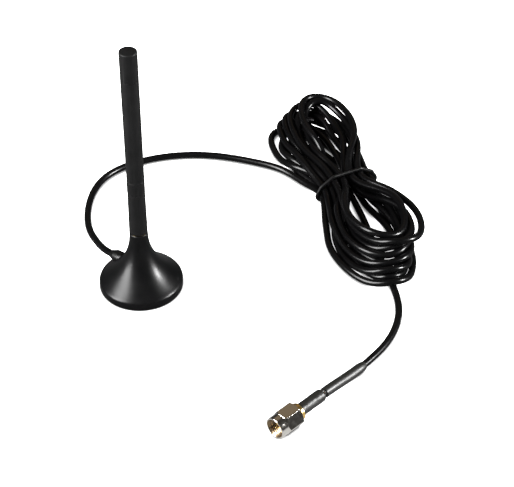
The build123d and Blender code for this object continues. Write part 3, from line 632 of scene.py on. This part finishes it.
shell = rounded([
    (0.79, -5.8), (1.1, -5.8), (1.1, -1.6), (3.1, -1.6), (3.1, -0.1), (2.28, -0.1), (2.28, 1.35),
    (1.97, 1.35), (1.97, 2.05), (2.28, 2.05), (2.28, 6.9), (2.05, 6.9), (2.05, 2.8), (1.6, 2.8),
    (1.6, -0.8), (0.79, -0.8),
], 0.10, closed=True)
dress(lathe("sma_body_shell", shell, ON_PLUG, 72, closed=True), "antenna_base", GOLD,
      "connector_body")
pin = np.concatenate([
    [(0.0, 2.0), (0.245, 2.0), (0.245, -0.7), (0.60, -0.7)],
    rounded([(0.635, -0.66), (0.635, 6.7), (PIN_R, 6.7), (PIN_R, 8.5), (0.15, 9.16), (0.0, 9.2)],
            [0.02, 0.04, 0.04, 0.16, 0.1, 0.02]),
])
dress(lathe("sma_centre_pin", pin, ON_PLUG, 32), "antenna_base", GOLD, "centre_pin")
plug_core = rounded([
    (0.655, -0.78), (1.58, -0.78), (1.58, 2.82), (2.03, 2.82), (2.03, 6.7), (0.655, 6.7),
], 0.06, closed=True)
dress(lathe("sma_insulator", plug_core, ON_PLUG, 48, closed=True), "antenna_base", PTFE,
      "plug_insulator")
seal = rounded([(2.30, 3.1), (2.79, 3.1), (2.79, 3.8), (2.30, 3.8)], 0.2, closed=True)
dress(lathe("sma_gasket", seal, ON_PLUG, 64, closed=True), "antenna_base", SILICONE,
      "gasket")

# heat-shrink over the ferrule, whose six crimped flats show through faintly
SHRINK_AROUND = 96
SHRINK_R = 2.29
shrink_turn = np.arange(SHRINK_AROUND) * TAU / SHRINK_AROUND
shrink_rows = [(1.87, -12.2), (1.90, SHRINK_REAR), (2.02, SHRINK_REAR)]
for height in np.linspace(-12.25, -1.75, 64):
    crimp = np.clip((height + 9.2) / 0.9, 0, 1) * np.clip((-2.6 - height) / 0.6, 0, 1)
    facet = SHRINK_R - 0.05 * crimp * (0.5 + 0.5 * np.cos(6 * (shrink_turn - hex_turn - math.pi / 6)))
    ripple = 0.012 * np.sin(2.7 * height + 2 * shrink_turn) + 0.010 * np.sin(5 * shrink_turn - height)
    drawn = (0.20 * math.exp(-((height - SHRINK_REAR) / 0.22))
             + 0.10 * math.exp(-((SHRINK_FRONT - height) / 0.18)))
    shrink_rows.append((facet + ripple - drawn - 0.012, height))
shrink_rows += [(2.12, -1.64), (2.05, SHRINK_FRONT), (1.99, SHRINK_FRONT), (1.97, -1.66),
                (1.97, -9.4), (1.87, -9.6)]
dress(lathe("plug_heat_shrink", shrink_rows, ON_PLUG, SHRINK_AROUND, closed=True, sharp=50),
      "antenna_base", SHRINK_BLACK, "ferrule_sleeve")

# ---------------------------------------------------------------- camera, floor and light
IMAGE_WIDTH = 514.0      # pixels
FOCAL_LENGTH = 1650.0    # pixels
SENSOR_WIDTH = 36.0
CAMERA_TILT = 40.1       # degrees below the horizon
scene = bpy.context.scene
camera_data = bpy.data.cameras.new("camera")
camera_data.sensor_width = SENSOR_WIDTH
camera_data.lens = FOCAL_LENGTH / IMAGE_WIDTH * SENSOR_WIDTH
camera_data.clip_start = 0.01
camera_data.clip_end = 10.0
camera = bpy.data.objects.new("camera", camera_data)
camera.location = (0.0416, -0.446, 0.3941)
camera.rotation_euler = (math.radians(90 - CAMERA_TILT), 0, 0)
scene.collection.objects.link(camera)
scene.camera = camera


def floor_material():
    """White sheet: even white in the open, with painted contact shade where the object stands close over
    it.

    In reflections the sheet is brightest round the plug and fades out far from the object.
    """
    material = bpy.data.materials.new("floor_sheet")
    add, link = node_tree(material)

    def multiply(first, second):
        made = add("Math", {"operation": "MULTIPLY"})
        link(first, made.inputs[0])
        link(second, made.inputs[1])
        return made.outputs["Value"]

    def mix(factor, low, high):
        made = add("MixShader")
        link(factor, made.inputs[0])
        link(low, made.inputs[1])
        link(high, made.inputs[2])
        return made.outputs[0]

    # painted shade: ambient occlusion dims the sheet's glow, in view and in reflections, close under the
    # object
    near = add("AmbientOcclusion", {"samples": 8}, Distance=0.0012)
    steep = add("Math", {"operation": "POWER"})
    steep.inputs[1].default_value = 1.6
    link(near.outputs["AO"], steep.inputs[0])
    openness = steep.outputs["Value"]
    white = add("BsdfDiffuse", Color=(0.75, 0.75, 0.75, 1))
    glow = add("Emission")
    link(openness, glow.inputs["Strength"])
    lit = add("AddShader")
    link(white.outputs[0], lit.inputs[0])
    link(glow.outputs[0], lit.inputs[1])
    seen = mix(openness, glow.outputs[0], lit.outputs[0])

    where = add("NewGeometry")
    levels = []
    for spot, near_edge, far_edge, low in (
        ((0.050, -0.074, 0.0), 0.018, 0.050, 0.22),
        ((0.0, 0.0, 0.0), 0.16, 0.60, 0.10),
    ):
        reach = add("VectorMath", {"operation": "DISTANCE"})
        reach.inputs[1].default_value = spot
        link(where.outputs["Position"], reach.inputs[0])
        fall = add("MapRange", From_Min=near_edge, From_Max=far_edge, To_Min=1.0, To_Max=low)
        link(reach.outputs["Value"], fall.inputs["Value"])
        levels.append(fall.outputs["Result"])
    mirrored = add("Emission", Color=(0.80, 0.80, 0.80, 1))
    link(multiply(openness, multiply(*levels)), mirrored.inputs["Strength"])
    shown = mix(add("LightPath").outputs["Is Glossy Ray"], seen, mirrored.outputs[0])
    link(shown, add("OutputMaterial").inputs["Surface"])
    return material


FLOOR_HALF = 3.0
floor_mesh = bpy.data.meshes.new("floor")
floor_mesh.from_pydata(
    [(-FLOOR_HALF, -FLOOR_HALF, 0), (FLOOR_HALF, -FLOOR_HALF, 0), (FLOOR_HALF, FLOOR_HALF, 0),
     (-FLOOR_HALF, FLOOR_HALF, 0)], [], [(0, 1, 2, 3)])
floor_mesh.materials.append(floor_material())
floor = bpy.data.objects.new("floor", floor_mesh)
scene.collection.objects.link(floor)
floor.location = (0, 0, -0.0002)


def softbox(name, direction, distance, width, height, power):
    """Rectangular lamp that faces the origin, in metres and watts."""
    lamp = bpy.data.lights.new(name, "AREA")
    lamp.shape = "RECTANGLE"
    lamp.size = width
    lamp.size_y = height
    lamp.energy = power
    thing = bpy.data.objects.new(name, lamp)
    aim = Vector(direction).normalized()
    thing.location = aim * distance
    thing.rotation_euler = aim.to_track_quat("Z", "Y").to_euler()
    scene.collection.objects.link(thing)
    return thing


left_box = softbox("left_softbox", (-0.728, -0.33, 0.50), 0.75, 0.38, 0.62, 27.0)
right_box = softbox("right_softbox", (0.91, -0.10, 0.40), 0.75, 0.17, 0.20, 16.0)
top_box = softbox("top_softbox", (0.05, 0.25, 1.0), 0.9, 0.5, 0.5, 1.0)
top_box.visible_glossy = False

# even white surroundings; reflections see a dull room with a warm wall high behind the object
world = bpy.data.worlds.new("studio")
scene.world = world
add, link = node_tree(world)
bright = add("Background", Color=(1, 1, 1, 1), Strength=0.55)
dull = add("Background", Color=(0.045, 0.043, 0.040, 1))
warm = add("Background", Color=(0.24, 0.185, 0.125, 1))
facing = add("VectorMath", {"operation": "DOT_PRODUCT"})
facing.inputs[1].default_value = (0.0, 0.69, 0.72)
link(add("TexCoord").outputs["Generated"], facing.inputs[0])
wall = add("MapRange", From_Min=0.90, From_Max=0.97)
link(facing.outputs["Value"], wall.inputs["Value"])
room = add("MixShader")
link(wall.outputs["Result"], room.inputs[0])
link(dull.outputs[0], room.inputs[1])
link(warm.outputs[0], room.inputs[2])
shown = add("MixShader")
link(add("LightPath").outputs["Is Glossy Ray"], shown.inputs[0])
link(bright.outputs[0], shown.inputs[1])
link(room.outputs[0], shown.inputs[2])
link(shown.outputs[0], add("OutputWorld").inputs["Surface"])
scene.view_settings.view_transform = "Standard"
